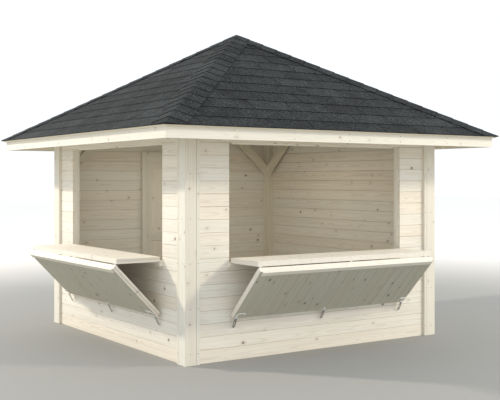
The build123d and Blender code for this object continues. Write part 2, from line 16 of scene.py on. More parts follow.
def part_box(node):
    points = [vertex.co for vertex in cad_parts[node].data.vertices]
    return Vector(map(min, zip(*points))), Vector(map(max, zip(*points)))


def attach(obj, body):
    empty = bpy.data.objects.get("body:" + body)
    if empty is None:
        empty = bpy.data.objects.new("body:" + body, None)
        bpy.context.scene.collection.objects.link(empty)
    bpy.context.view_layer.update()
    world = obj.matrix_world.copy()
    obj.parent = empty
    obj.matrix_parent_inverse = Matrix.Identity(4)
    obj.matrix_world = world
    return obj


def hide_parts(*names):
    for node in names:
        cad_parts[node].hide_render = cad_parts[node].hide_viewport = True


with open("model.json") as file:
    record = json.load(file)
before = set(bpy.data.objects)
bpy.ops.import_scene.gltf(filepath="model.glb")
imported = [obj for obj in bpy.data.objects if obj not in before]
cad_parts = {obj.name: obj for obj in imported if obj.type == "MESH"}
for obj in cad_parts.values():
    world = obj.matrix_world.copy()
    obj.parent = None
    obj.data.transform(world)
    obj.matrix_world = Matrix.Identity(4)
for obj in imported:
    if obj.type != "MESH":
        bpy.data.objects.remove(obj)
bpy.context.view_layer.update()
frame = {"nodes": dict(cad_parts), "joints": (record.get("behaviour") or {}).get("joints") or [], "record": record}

NODES = frame["nodes"]
BODY_OF = {
    node: body for body, nodes in frame["record"]["behaviour"]["bodies"].items() for node in nodes
}
JOINT_AT = {joint["name"]: Vector(joint["pos_m"]) for joint in frame["joints"]}

# Directions of the four sides
UP = Vector((0, 0, 1))
OUTWARD = {
    "front": Vector((0, -1, 0)), "side": Vector((-1, 0, 0)),
    "back": Vector((0, 1, 0)), "right": Vector((1, 0, 0)),
}
ALONG = {side: out.cross(UP) for side, out in OUTWARD.items()}
OPEN_SIDES = ("front", "side")
SLOPE_NAMES = {"front": "front", "side": "left", "back": "back", "right": "right"}

# The hut's own sizes, as its part gives them
WALL_FACE = 1.462         # from the middle of the plan to the boards' outer face
COURSE = 0.114            # height of a wall board, and width of a leaf's board
COURSES = 19
COUNTER_COURSE = 8        # the counter's top is level with this many courses
STUD_MIDDLE = 1.060       # from the middle of a wall to its studs beside the opening
TRIM_THICK = 0.028
COVER_WIDE = 0.084        # bare face of a corner's cover board
SHADOW_LINE = 0.003       # between a cover board and its batten
LEAF_HALF = 1.019
LEAF_THICK = 0.045
FLAP_HANG = math.radians(46.003)
FLAP_INNER = 0.0485       # from the flap's axis to its inner face
HINGE_INSET = 0.022       # from a leaf's end to the middle of its end hinge
HASP_INSET = 0.029        # from a flap's end to the middle of its end hasp
PLATE = 0.0022            # thickness of the hatches' hinge plates
DOOR_PLATE = 0.003
PITCH = math.radians(30.1)
EAVE_HALF = 1.947
EAVE_TOP = 2.050
PEAK = EAVE_TOP + EAVE_HALF * math.tan(PITCH)
RAFTER_STEP = 0.625
FASCIA_HALF = 1.900
FASCIA_LOW = 1.940

# Widths of the bevels along edges
WALL_EDGE = 0.0008
CORNER_EDGE = 0.0012
ROOF_EDGE = 0.0012
TRIM_EDGE = 0.0015
FRAME_EDGE = 0.002
PANEL_EDGE = 0.003
TAB_EDGE = 0.001
IRON_EDGE = 0.0003


# Meshes

MERGED = 2e-5             # vertices closer than this are one
FREE_EDGE = 0.8           # what "edge" comes to at a board's edge that joins nothing
SEAM_NEAR = 0.001         # nearer than this to the end of the boarding, an edge joins nothing


def placed(origin, x, y, z):
    """Matrix whose columns are the three directions, at an origin."""
    turn = Matrix((x, y, z)).transposed().to_4x4()
    return Matrix.Translation(origin) @ turn


def cad_copy(node):
    """The node's own mesh, with its loose triangles merged back into flat faces."""
    shape = bmesh.new()
    shape.from_mesh(NODES[node].data)
    bmesh.ops.remove_doubles(shape, verts=shape.verts, dist=MERGED)
    bmesh.ops.dissolve_limit(shape, angle_limit=math.radians(1), verts=shape.verts, edges=shape.edges)
    return shape


def everything_in(shape):
    return shape.verts[:] + shape.edges[:] + shape.faces[:]


def close_cuts(shape):
    open_edges = [edge for edge in shape.edges if edge.is_boundary]
    bmesh.ops.holes_fill(shape, edges=open_edges, sides=0)


def saw(shape, point, normal):
    """Cuts the whole shape along a plane into separate closed boards."""
    cut = bmesh.ops.bisect_plane(
        shape, geom=everything_in(shape), dist=1e-5, plane_co=point, plane_no=normal)
    edges = [piece for piece in cut["geom_cut"] if isinstance(piece, bmesh.types.BMEdge)]
    if edges:
        bmesh.ops.split_edges(shape, edges=edges)
        close_cuts(shape)


def trim_off(shape, point, normal):
    """Saws off what lies beyond a plane and closes the cut faces."""
    bmesh.ops.bisect_plane(
        shape, geom=everything_in(shape), dist=1e-6, plane_co=point, plane_no=normal, clear_outer=True)
    close_cuts(shape)


def block(shape, low, high):
    """A square-edged piece between two corners."""
    made = bmesh.ops.create_cube(shape, size=1.0)["verts"]
    for vert in made:
        vert.co = [near if c < 0 else far for c, near, far in zip(vert.co, low, high)]
    return made


def boards_in(shape):
    """Groups of vertices, one for each separate board, in the same order each run."""
    left = set(shape.verts)
    for start in shape.verts[:]:
        if start not in left:
            continue
        left.remove(start)
        board, reached = [], [start]
        while reached:
            vert = reached.pop()
            board.append(vert)
            for link in vert.link_edges:
                other = link.other_vert(vert)
                if other in left:
                    left.remove(other)
                    reached.append(other)
        yield board


def longest_way(board):
    """Direction of a board's longest edge."""
    edges = [edge for vert in board for edge in vert.link_edges]
    longest = max(edges, key=lambda edge: round(edge.calc_length(), 5))
    return (longest.verts[1].co - longest.verts[0].co).normalized()


def broad_way(board, length):
    """Direction across a board's thickness: the normal of its largest long face."""
    faces = [face for vert in board for face in vert.link_faces]
    sides = [face for face in faces if abs(face.normal.dot(length)) < 0.3]
    return max(sides, key=lambda face: round(face.calc_area(), 6)).normal.copy()


def reach(verts, way):
    """Where a group of vertices starts and ends along a direction."""
    places = [vert.co.dot(way) for vert in verts]
    return min(places), max(places)


def seam_ends(board, boarding):
    """Values at a board's two long edges: 1 where it joins the next board, less at a free edge."""
    low = -1.0 if board[0] > boarding[0] + SEAM_NEAR else -FREE_EDGE
    high = 1.0 if board[1] < boarding[1] - SEAM_NEAR else FREE_EDGE
    return low, high


def lay_grain(shape, length=None, name_of=None, jointed=False):
    """Gives each board its own wood: coordinates along, across and through it, and a tone.

    In jointed boarding, "edge" runs across each board, to 1 or -1 where it meets the next one.
    """
    grain = shape.verts.layers.float_vector.new("grain")
    tone = shape.verts.layers.float.new("tone")
    edge = shape.verts.layers.float.new("edge")
    shape.normal_update()
    for board in boards_in(shape):
        way = length or longest_way(board)
        way = way if way.dot(Vector((1, 1, 1.3))) > 0 else -way
        through = broad_way(board, way)
        through = (through - way * through.dot(way)).normalized()
        across = through.cross(way)
        ways = (way, across, through)
        reaches = [reach(board, direction) for direction in ways]
        middle = [(low + high) / 2 for low, high in reaches]
        centre = sum((direction * place for direction, place in zip(ways, middle)), Vector())
        key = name_of(centre) if name_of else f"{centre.x:.3f} {centre.y:.3f} {centre.z:.3f}"
        chance = random.Random(key)
        shift = Vector((chance.uniform(3, 60), chance.uniform(-0.03, 0.03), chance.uniform(0.03, 0.09)))
        shade = chance.uniform(-1, 1)
        first, last = reaches[1]
        ends = seam_ends(reaches[1], reach(shape.verts, across)) if jointed else (0.0, 0.0)
        for vert in board:
            place = vert.co.dot(across)
            local = Vector((vert.co.dot(way), place - middle[1], vert.co.dot(through) - middle[2]))
            vert[grain] = local + shift
            vert[tone] = shade
            vert[edge] = ends[0] + (ends[1] - ends[0]) * (place - first) / max(last - first, 1e-6)


def show(shape, name, body, material, replaces=(), bevel=0.0, smooth=False):
    """Turns a finished shape into a piece that rides on a body of the part."""
    mesh = bpy.data.meshes.new(name)
    shape.to_mesh(mesh)
    shape.free()
    if smooth:
        mesh.shade_smooth()
        mesh.set_sharp_from_angle(angle=math.radians(35))
    piece = bpy.data.objects.new(name, mesh)
    bpy.context.scene.collection.objects.link(piece)
    mesh.materials.append(material)
    if bevel:
        edges = piece.modifiers.new("edges", "BEVEL")
        edges.width = bevel
        edges.segments = 2
        edges.limit_method = "ANGLE"
        edges.angle_limit = math.radians(30)
        edges.use_clamp_overlap = True
    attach(piece, body)
    if replaces:
        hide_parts(*replaces)
    return piece


def dress(node, material, cuts=(), length=None, name_of=None, bevel=TRIM_EDGE, smooth=False,
          jointed=False):
    """Replaces a CAD node by its own shape, sawn into boards that each have their own grain."""
    shape = cad_copy(node)
    for point, normal in cuts:
        saw(shape, point, normal)
    lay_grain(shape, length, name_of, jointed)
    return show(shape, f"{node}_dressed", BODY_OF[node], material, [node], bevel, smooth)


# Materials

class Wire:
    """An output of a shader node, so that sums on surfaces are written as plain expressions."""

    def __init__(self, finish, socket):
        self.finish = finish
        self.socket = socket

    def maths(self, operation, first, second):
        return self.finish.node("ShaderNodeMath", {"operation": operation}, _0=first, _1=second)

    def __add__(self, other):
        return self.maths("ADD", self, other)

    def __sub__(self, other):
        return self.maths("SUBTRACT", self, other)

    def __rsub__(self, other):
        return self.maths("SUBTRACT", other, self)

    def __mul__(self, other):
        return self.maths("MULTIPLY", self, other)

    def __truediv__(self, other):
        return self.maths("DIVIDE", self, other)

    def __pow__(self, other):
        return self.maths("POWER", self, other)

    __radd__ = __add__
    __rmul__ = __mul__


class Finish:
    """A material, with one method that makes every kind of node.

    A socket is given by its name, with _ for a space, or by _ and its number.
    """

    def __init__(self, name, **shader):
        self.material = bpy.data.materials.new(name)
        self.material.use_nodes = True
        self.nodes = self.material.node_tree.nodes
        self.links = self.material.node_tree.links
        self.surface = self.nodes["Principled BSDF"]
        self.feed(self.surface, shader)

    def feed(self, node, sockets):
        for name, value in sockets.items():
            socket = node.inputs[int(name[1:])] if name[0] == "_" else node.inputs[name.replace("_", " ")]
            if isinstance(value, Wire):
                self.links.new(value.socket, socket)
            else:
                socket.default_value = value

    def node(self, kind, settings=None, output=0, **sockets):
        made = self.nodes.new(kind)
        for name, value in (settings or {}).items():
            setattr(made, name, value)
        self.feed(made, sockets)
        return Wire(self, made.outputs[output])

    def attribute(self, name, output="Fac"):
        return self.node("ShaderNodeAttribute", {"attribute_name": name}, output)

    def place(self):
        """Where a point is on the hut."""
        return self.node("ShaderNodeTexCoord", output="Object")

    def noise(self, vector, scale, detail, roughness=0.5):
        return self.node("ShaderNodeTexNoise", Vector=vector, Scale=scale, Detail=detail,
                         Roughness=roughness)

    def cells(self, vector, scale, output="Color", dimensions="3D", spread=1.0):
        """Irregular cells: a colour for each, or where its middle is."""
        return self.node("ShaderNodeTexVoronoi", {"voronoi_dimensions": dimensions}, output,
                         Vector=vector, Scale=scale, Randomness=spread)

    def channel(self, wire, name):
        return self.node("ShaderNodeSeparateColor", output=name, _0=wire)

    def stretched(self, vector, scale):
        return self.node("ShaderNodeMapping", Vector=vector, Scale=scale)

    def vector(self, operation, first, second):
        return self.node("ShaderNodeVectorMath", {"operation": operation}, _0=first, _1=second)

    def length(self, vector):
        return self.node("ShaderNodeVectorMath", {"operation": "LENGTH"}, "Value", _0=vector)

    def function(self, operation, value):
        """A Math node that takes one number."""
        return self.node("ShaderNodeMath", {"operation": operation}, _0=value)

    def between(self, value, low, high, out_low=0.0, out_high=1.0):
        """Eases a value from one level to another between two limits."""
        return self.node("ShaderNodeMapRange", {"interpolation_type": "SMOOTHSTEP"},
                         Value=value, _1=low, _2=high, _3=out_low, _4=out_high)

    def mix(self, factor, first, second, blend="MIX"):
        """Mixes two colours. The node's third output is the one for colours."""
        return self.node("ShaderNodeMix", {"data_type": "RGBA", "blend_type": blend}, output=2,
                         _0=factor, _6=first, _7=second)

    def bump(self, height, distance, strength):
        return self.node("ShaderNodeBump", Height=height, Distance=distance, Strength=strength)


def colour(red, green, blue):
    """A shader's colour from its display values, 0 to 255."""
    levels = (level / 255 for level in (red, green, blue))
    return (*(((level + 0.055) / 1.055) ** 2.4 for level in levels), 1)


KNOT_CELL = Vector((0.30, 0.10, 1.0))     # at most one knot in this length and width of board
SMALLEST_KNOT = 0.0042
RING_TURN = 1050          # radians a metre outwards from the pith: a ring every 6 mm
BOARD_WARM = colour(255, 241, 226)
# Colour of the painted shadow in the grooves between boards
JOINT_SHADE = colour(120, 104, 84)


def knots_in(finish, grain, share, largest):
    """Knots in a share of the cells: their core, the rim in it, and the grain that bends round them."""
    cells = finish.stretched(grain, tuple(1 / size for size in KNOT_CELL))
    flat = finish.vector("MULTIPLY", cells, (1, 1, 0))
    middle = finish.cells(flat, 1.0, "Position", "2D", 0.9)
    chance = finish.cells(flat, 1.0, "Color", "2D", 0.9)
    size = finish.channel(chance, "Green") ** 2 * (largest - SMALLEST_KNOT) + SMALLEST_KNOT
    apart = finish.vector("SUBTRACT", flat, middle)
    away = finish.length(finish.vector("MULTIPLY", apart, (KNOT_CELL.x * 0.8, KNOT_CELL.y, 0)))
    ragged = (away + (finish.noise(grain, 110, 2) - 0.5) * 0.004) / size
    lucky = finish.between(finish.channel(chance, "Red"), share, share + 0.01, 1, 0)
    core = finish.between(ragged, 0.85, 1.1, 1, 0) * lucky
    rim = finish.between(ragged, 0.45, 0.9) * core
    halo = finish.between(away, 0.005, 0.040, 1, 0) * lucky
    return core, rim, halo


def rings_in(finish, grain, halo):
    """Growth rings round a pith, which wander along the board and bend round its knots."""
    along, width, depth = (finish.node("ShaderNodeSeparateXYZ", output=axis, _0=grain) for axis in "XYZ")
    wander = finish.noise(finish.stretched(grain, (1.1, 3, 3)), 1.0, 2) - 0.5
    outwards = (width * width + depth * depth) ** 0.5 + wander * 0.05 + halo * 0.014
    return finish.between(finish.function("SINE", outwards * RING_TURN + along * 3), -0.2, 1.0)


def wood(name, pale, ring, knot, knots=0.3, contrast=1.0, largest=0.0125, varied=0.13, tinted=0.4,
         seam=0.45):
    """Spruce: growth rings, fine fibres, a tone and a tint for each board, knots, and painted shadow in the
    joints.
    """
    finish = Finish(name, Specular_IOR_Level=0.3)
    grain = finish.attribute("grain", "Vector")
    tone = finish.attribute("tone")
    core, rim, halo = knots_in(finish, grain, knots, largest)
    rings = rings_in(finish, grain, halo)
    bands = finish.noise(finish.stretched(grain, (0.9, 38, 38)), 1.0, 3, 0.6)
    streaks = finish.noise(finish.stretched(grain, (2.2, 150, 150)), 1.0, 4, 0.6)
    fibres = finish.noise(finish.stretched(grain, (9, 900, 900)), 1.0, 2, 0.6)

    amount = rings * 0.28 * contrast + (streaks - 0.5) * 0.8 * contrast + (bands - 0.5) * 0.9 * contrast
    amount = amount + tone * varied + (fibres - 0.5) * 0.25 + halo * 0.3
    surface = finish.mix(finish.between(amount, -0.35, 1.0), pale, ring)
    tint = finish.function("FRACT", tone * 7.3 + 8) * tinted
    surface = finish.mix(tint, surface, BOARD_WARM, "MULTIPLY")
    knot_core = tuple((a + b) / 2 for a, b in zip(ring, knot))
    surface = finish.mix(core * 0.9, surface, knot_core)
    surface = finish.mix(rim * 0.85, surface, knot)
    # Painted shadow in the joints: darker where "edge" nears 1 or -1, as strong as the wood's seam share
    joint = finish.between(finish.function("ABSOLUTE", finish.attribute("edge")), 0.96, 0.995)
    surface = finish.mix(joint * seam, surface, JOINT_SHADE)
    height = streaks * 0.35 + fibres * 0.4 + rings * 0.25 - core * 0.6
    finish.feed(finish.surface, {
        "Base_Color": surface,
        "Roughness": finish.between(streaks, 0.3, 0.7, 0.55, 0.70),
        "Normal": finish.bump(height, 0.0006, 0.55),
    })
    return finish.material


ROOF_DARK = colour(12, 14, 16)
ROOF_WARM = colour(20, 22, 22)
ROOF_BLUE = colour(47, 53, 58)
ROOF_PALE = colour(86, 90, 88)
TAB_FOOT_SHADOW = colour(11, 12, 12)


def granules():
    """Mineral grains on bitumen felt: dark slate with paler and bluer grains, a tone for each tab, and painted
    shadow along each tab's lower edge.
    """
    finish = Finish("slate_granules", Specular_IOR_Level=0.2)
    place = finish.place()
    grains = finish.cells(place, 420.0)
    each = finish.channel(grains, "Red")
    other = finish.channel(grains, "Green")
    clump = finish.channel(finish.cells(place, 110.0), "Red")
    patch = finish.noise(place, 4.5, 3, 0.6)
    mottle = finish.noise(place, 70, 3, 0.75)
    shade = finish.between(each, 0.1, 1.0) * 0.45 + (mottle - 0.5) * 1.5 + (patch - 0.5) * 0.9
    shade = shade + (clump - 0.5) * 1.0 + finish.attribute("tone") * 0.17
    dark = finish.mix(finish.between(other, 0.3, 0.9), ROOF_DARK, ROOF_WARM)
    light = finish.mix(other, ROOF_BLUE, ROOF_PALE)
    surface = finish.mix(finish.between(shade, -0.25, 1.15), dark, light)
    # Painted shadow: a dark band along each tab's lower edge, where "edge" nears 1
    foot_shadow = finish.between(finish.attribute("edge"), 0.955, 0.99)
    finish.feed(finish.surface, {
        "Base_Color": finish.mix(foot_shadow * 0.6, surface, TAB_FOOT_SHADOW),
        "Roughness": finish.between(each, 0.0, 1.0, 0.8, 0.98),
        "Normal": finish.bump(each + mottle, 0.0012, 0.6),
    })
    return finish.material


def zinc(name, bright, dull, metallic):
    """Galvanised iron: bright, with soft patches of crystal and a little wear."""
    finish = Finish(name, Metallic=metallic)
    place = finish.place()
    crystal = finish.channel(finish.cells(place, 160.0), "Red")
    wear = finish.noise(place, 40, 3)
    finish.feed(finish.surface, {
        "Base_Color": finish.mix(crystal * 0.5 + wear * 0.4, bright, dull),
        "Roughness": finish.between(crystal + wear, 0.4, 1.6, 0.30, 0.50),
        "Normal": finish.bump(wear, 0.0004, 0.3),
    })
    return finish.material


DARK_KNOT = colour(96, 66, 42)
WALL_WOOD = wood(
    "whitened_spruce", colour(244, 241, 229), colour(218, 208, 192), DARK_KNOT, knots=0.26)
COUNTER_WOOD = wood(
    "counter_spruce", colour(238, 233, 221), colour(220, 210, 194), DARK_KNOT,
    varied=0.05, tinted=0.12, seam=0.2)
# Painted shade: the flap's face with the handles, the same spruce made greyer and darker for the shade it hangs in
SHADED_FLAP_WOOD = wood(
    "hatch_spruce_painted_shade", colour(197, 195, 179), colour(178, 174, 156), colour(62, 48, 36),
    knots=0.55, largest=0.016, varied=0.04, tinted=0.1, seam=0.04)
TRIM_WOOD = wood(
    "planed_spruce", colour(236, 233, 220), colour(215, 208, 193), colour(104, 78, 52),
    knots=0.34, contrast=0.7, largest=0.007, varied=0.08, tinted=0.25)
FRAME_WOOD = wood(
    "frame_spruce", colour(238, 234, 217), colour(213, 203, 179), colour(96, 64, 38))
SHINGLE = granules()
ZINC = zinc("zinc", colour(188, 187, 182), colour(132, 131, 128), 0.85)
# Painted light: the flaps' handles and plates in near-white, less metallic zinc, for the light that falls on them
PAINTED_LIGHT_ZINC = zinc("zinc_painted_highlight", colour(250, 250, 247), colour(226, 227, 224), 0.25)
NAIL_IRON = Finish("nail_iron", Base_Color=colour(104, 74, 50), Roughness=0.6, Metallic=0.2).material


# Walls and timbers

WALL_NODES = {
    "front": ("front_wall_lower", "front_wall_left_pier", "front_wall_right_pier", "front_wall_head"),
    "side": ("side_wall_lower", "side_wall_left_pier", "side_wall_right_pier", "side_wall_head"),
    "right": ("right_wall",),
    "back": ("back_wall_left", "back_wall_right", "back_wall_head"),
}


def course_cuts(low, high):
    """The joints of the stacked boards that lie between two heights."""
    rows = range(math.ceil(low / COURSE + 0.01), math.floor(high / COURSE - 0.01) + 1)
    return [(UP * (row * COURSE), UP) for row in rows]


def walls():
    """Stacked boards. A course that an opening interrupts has the same wood on both sides of it."""
    for side, nodes in WALL_NODES.items():
        for node in nodes:
            low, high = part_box(node)
            dress(node, WALL_WOOD, course_cuts(low.z, high.z), ALONG[side],
                  lambda centre, side=side: f"{side} {math.floor(centre.z / COURSE)}", WALL_EDGE,
                  jointed=True)


def timbers():
    """Corner boards, other trim and the frame. A corner's cover boards meet in a mitre."""
    seam = WALL_FACE - COVER_WIDE - SHADOW_LINE / 2
    cuts = [(Vector(), Vector((1, hand, 0)).normalized()) for hand in (-1, 1)]
    for hand in (-1, 1):
        cuts += [(Vector((hand * seam, 0, 0)), Vector((1, 0, 0)))]
        cuts += [(Vector((0, hand * seam, 0)), Vector((0, 1, 0)))]
    dress("corner_trims", TRIM_WOOD, cuts, UP, bevel=CORNER_EDGE)
    for node in ("counter_ledges", "opening_stops", "end_fascias", "side_fascias"):
        dress(node, TRIM_WOOD)
    for node in ("corner_posts", "opening_studs", "opening_rails", "end_plates", "side_plates",
                 "knee_braces", "rafters", "hip_rafters", "apex_block"):
        dress(node, FRAME_WOOD, bevel=FRAME_EDGE)


# Folding leaves

LEAF_BOARDS = 18


def flap_frame(side):
    """Frame of a hanging flap: x from its hinge to its free edge, y out of its inner face, z along."""
    lean = OUTWARD[side] * -math.cos(FLAP_HANG) - UP * math.sin(FLAP_HANG)
    return placed(JOINT_AT[f"{side}_flap_hinge"], lean, ALONG[side].cross(lean), ALONG[side])


def leaves(side):
    """Counter and flap, of boards that run away from their hinge, and the batten across the flap's."""
    seams = [(ALONG[side] * (LEAF_HALF - COURSE * k), ALONG[side]) for k in range(1, LEAF_BOARDS)]
    dress(f"{side}_counter", COUNTER_WOOD, seams, OUTWARD[side], bevel=WALL_EDGE,
          jointed=True)

    # The batten comes off before the boards under it are sawn
    hang = flap_frame(side)
    lean, face = hang.col[0].xyz, hang.col[1].xyz
    flap = f"{side}_flap"
    batten = cad_copy(flap)
    trim_off(batten, hang @ Vector((0, FLAP_INNER, 0)), -face)
    lay_grain(batten, ALONG[side])
    show(batten, f"{flap}_batten", flap, TRIM_WOOD, bevel=TRIM_EDGE)
    boards = cad_copy(flap)
    trim_off(boards, hang @ Vector((0, FLAP_INNER, 0)), face)
    for point, normal in seams:
        saw(boards, point, normal)
    lay_grain(boards, lean, jointed=True)
    boarding = show(boards, f"{flap}_boards", flap, SHADED_FLAP_WOOD, [flap])

    # Only the face with the handles is greyer than the counter: painted shade, for the shade this face hangs in
    boarding.data.materials.append(COUNTER_WOOD)
    for polygon in boarding.data.polygons:
        polygon.material_index = 0 if polygon.normal.dot(face) > 0.5 else 1


# Roof

ROOF_BOARD = 0.121
ROOF_JOINTS = 17
LOWEST_JOINT = 2.12       # from the peak, down the slope
SLOPE_LONG = EAVE_HALF / math.cos(PITCH)
LAP = 0.190               # one course of shingles
FIRST_LAP = 0.175
TAB_WIDE = 0.425
TAB_SLOT = 0.007
TAB_UNDER = 0.030         # how far a course runs up under the next one
TAB_THICK = 0.0038
TAB_DROP = 0.004          # how much deeper a tab lies at its top
TAB_SHIFT = 0.012         # how far a course may be out of line
TAB_SAG = 0.002           # how uneven the tabs' lower edges may be
FELT_UNDER = 0.0062       # from the tabs' upper face down to the felt that shows in their slots
FELT_THICK = 0.0012
FELT_BACK = 0.004
CAP_LAP = 0.166
CAP_HALF = 0.160
CAP_THICK = 0.0038
CAP_UNDER = 0.035
CAP_SAG = 0.003
CAP_BEND = 0.012          # from a hip's line to where its caps are flat
HIP_MITRE = 0.0005        # half the joint between two hips' caps at the peak


def down_slope(side):
    return OUTWARD[side] * math.cos(PITCH) - UP * math.sin(PITCH)


def out_of_slope(side):
    return OUTWARD[side] * math.sin(PITCH) + UP * math.cos(PITCH)


def down_hip(plan):
    """Direction down a hip, from the sum of its two slopes' directions outwards."""
    return (plan - UP * math.tan(PITCH)).normalized()


def slope_frame(side):
    """Frame of a slope: x along the eave, y down the slope, z out of it, from the peak."""
    down = down_slope(side)
    return placed(UP * PEAK, ALONG[side], down, ALONG[side].cross(down))


def roof_boards(side, name):
    down = down_slope(side)
    cuts = [(UP * PEAK + down * (LOWEST_JOINT - ROOF_BOARD * k), down) for k in range(ROOF_JOINTS)]
    dress(f"{name}_roof_boards", FRAME_WOOD, cuts, ALONG[side], bevel=ROOF_EDGE,
          jointed=True)


def give_tones(shape, chance, down_of):
    """Gives each shingle a tone, and "edge" running down it to 1 at its cut edge."""
    tone = shape.verts.layers.float.new("tone")
    edge = shape.verts.layers.float.new("edge")
    for tab in boards_in(shape):
        shade = chance.uniform(-1, 1)
        down = down_of(sum((vert.co for vert in tab), Vector()) / len(tab))
        lowest = reach(tab, down)[1]
        for vert in tab:
            vert[tone] = shade
            vert[edge] = 1 - (lowest - vert.co.dot(down)) / LAP


def shingle_row(shape, row, low, high, chance):
    """One course of tabs, between two distances from the peak, half a tab along from the last."""
    top = max(high - TAB_UNDER, 0.0)
    drop = TAB_DROP * (low - top) / LAP
    shift = TAB_WIDE / 2 * (row % 2) + chance.uniform(-TAB_SHIFT, TAB_SHIFT)
    count = math.ceil(low / TAB_WIDE) + 1
    for k in range(-count, count):
        left = k * TAB_WIDE + shift + TAB_SLOT / 2
        right = left + TAB_WIDE - TAB_SLOT
        if min(abs(left), abs(right)) > low and left * right > 0:
            continue
        foot = low - chance.uniform(0, TAB_SAG)
        for vert in block(shape, (left, top, -TAB_THICK), (right, foot, 0)):
            if vert.co.y < (top + foot) / 2:
                vert.co.z -= drop


def shingle_slope(side, name):
    """Courses of shingle tabs, with felt under their slots, mitred along both hips."""
    shape = bmesh.new()
    laps = [SLOPE_LONG]
    lap = SLOPE_LONG - FIRST_LAP
    while lap > 0:
        laps.append(lap)
        lap -= LAP
    laps.append(0.0)
    chance = random.Random(name)
    for row, (low, high) in enumerate(zip(laps, laps[1:])):
        shingle_row(shape, row, low, high, chance)
    block(shape, (-2 * SLOPE_LONG, 0, -FELT_UNDER - FELT_THICK),
          (2 * SLOPE_LONG, SLOPE_LONG - FELT_BACK, -FELT_UNDER))
    bmesh.ops.recalc_face_normals(shape, faces=shape.faces)
    shape.transform(slope_frame(side))
    for hand in (-1, 1):
        trim_off(shape, Vector(), (ALONG[side] * hand - OUTWARD[side]).normalized())
    give_tones(shape, chance, lambda centre: down_slope(side))
    show(shape, f"{name}_shingle_tabs", "hut", SHINGLE, [f"{name}_shingles"], TAB_EDGE)


def cap_run(first, second, chance):
    """The caps of one hip, between two slopes: each a bent shingle over the one below it."""
    run = bmesh.new()
    hip = down_hip(OUTWARD[first] + OUTWARD[second])
    normals = [out_of_slope(side) for side in (first, second)]
    spread = OUTWARD[first] - OUTWARD[second]
    wings = []
    for normal, toward in zip(normals, (spread, -spread)):
        wing = hip.cross(normal)
        wings.append(wing if wing.dot(toward) > 0 else -wing)
    ridge = sum(normals, Vector()).normalized()
    ridge = ridge / ridge.dot(normals[0])
    lap = EAVE_HALF * math.sqrt(1 / math.cos(PITCH) ** 2 + 1)
    while lap > 0:
        top = max(lap - CAP_LAP - CAP_UNDER, 0.0)
        rise_top = TAB_DROP * (2 - (lap - top) / CAP_LAP)
        rows = []
        for along, rise in ((lap - chance.uniform(0, CAP_SAG), 2 * TAB_DROP), (top, rise_top)):
            middle = UP * PEAK + hip * along
            rows.append([
                run.verts.new(middle + wings[0] * CAP_HALF + normals[0] * rise),
                run.verts.new(middle + ridge * rise),
                run.verts.new(middle + wings[1] * CAP_HALF + normals[1] * rise),
            ])
        for wing in (0, 1):
            run.faces.new((rows[0][wing], rows[0][wing + 1], rows[1][wing + 1], rows[1][wing]))
        lap -= CAP_LAP
    bmesh.ops.recalc_face_normals(run, faces=run.faces)
    for face in run.faces:
        if face.normal.z < 0:
            face.normal_flip()
    bends = [edge for edge in run.edges if len(edge.link_faces) == 2]
    bmesh.ops.bevel(run, geom=bends, offset=CAP_BEND, segments=3, affect="EDGES", profile=0.5, material=-1)
    bmesh.ops.solidify(run, geom=run.faces[:], thickness=CAP_THICK)
    for side in (first, second):
        trim_off(run, OUTWARD[side] * EAVE_HALF, OUTWARD[side])
        trim_off(run, OUTWARD[side] * HIP_MITRE, -OUTWARD[side])
    return run


def hip_caps():
    """The caps of all four hips, as one piece."""
    caps = bmesh.new()
    chance = random.Random("caps")
    sides = list(OUTWARD)
    for first, second in zip(sides, sides[1:] + sides[:1]):
        run = cap_run(first, second, chance)
        spare = bpy.data.meshes.new("run")
        run.to_mesh(spare)
        run.free()
        caps.from_mesh(spare)
        bpy.data.meshes.remove(spare)
    give_tones(caps, chance, lambda centre: down_hip(
        Vector((math.copysign(1, centre.x), math.copysign(1, centre.y), 0))))
    show(caps, "hip_cap_shingles", "hut", SHINGLE, ["hip_caps"])


# Ironwork and door

STILE = 0.080
BOTTOM_RAIL = 0.140
MIDDLE_RAIL = (0.880, 0.970)
TOP_RAIL = 0.078
PANEL_INSET = 0.010
PANEL_BOARDS = 6


def ironwork():
    """Hinges, hasps and levers of dull zinc. The flaps' plates and handles are the same zinc painted near white,
    as painted light.
    """
    for node in ("ledge_hinges", "door_frame_hinges", "door_hinges", "door_levers",
                 "front_counter_hinges", "side_counter_hinges", "front_hasps", "side_hasps"):
        dress(node, ZINC, bevel=IRON_EDGE, smooth=True)
    for node in ("front_flap_plates", "side_flap_plates", "front_handles", "side_handles"):
        dress(node, PAINTED_LIGHT_ZINC, bevel=IRON_EDGE, smooth=True)


def door():
    """Door frame, and a leaf of stiles and rails with upright boards in its two panels."""
    for node in ("door_jambs", "door_head", "door_threshold"):
        dress(node, TRIM_WOOD)
    low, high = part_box("door_leaf")
    inner = low.x + STILE
    levels = [low.z, low.z + BOTTOM_RAIL, *MIDDLE_RAIL, high.z - TOP_RAIL, high.z]
    bars = bmesh.new()
    block(bars, low, (inner, high.y, high.z))
    block(bars, (-inner, low.y, low.z), high)
    for bottom, top in zip(levels[::2], levels[1::2]):
        block(bars, (inner, low.y, bottom), (-inner, high.y, top))
    lay_grain(bars)
    show(bars, "door_stiles_and_rails", "door", TRIM_WOOD, ["door_leaf"], FRAME_EDGE)
    boards = bmesh.new()
    wide = -2 * inner / PANEL_BOARDS
    for bottom, top in zip(levels[1::2], levels[2::2]):
        for k in range(PANEL_BOARDS):
            left = inner + k * wide
            block(boards, (left, low.y + PANEL_INSET, bottom), (left + wide, high.y - PANEL_INSET, top))
    lay_grain(boards, UP)
    show(boards, "door_panel_boards", "door", WALL_WOOD, bevel=PANEL_EDGE)


# Nails and screws

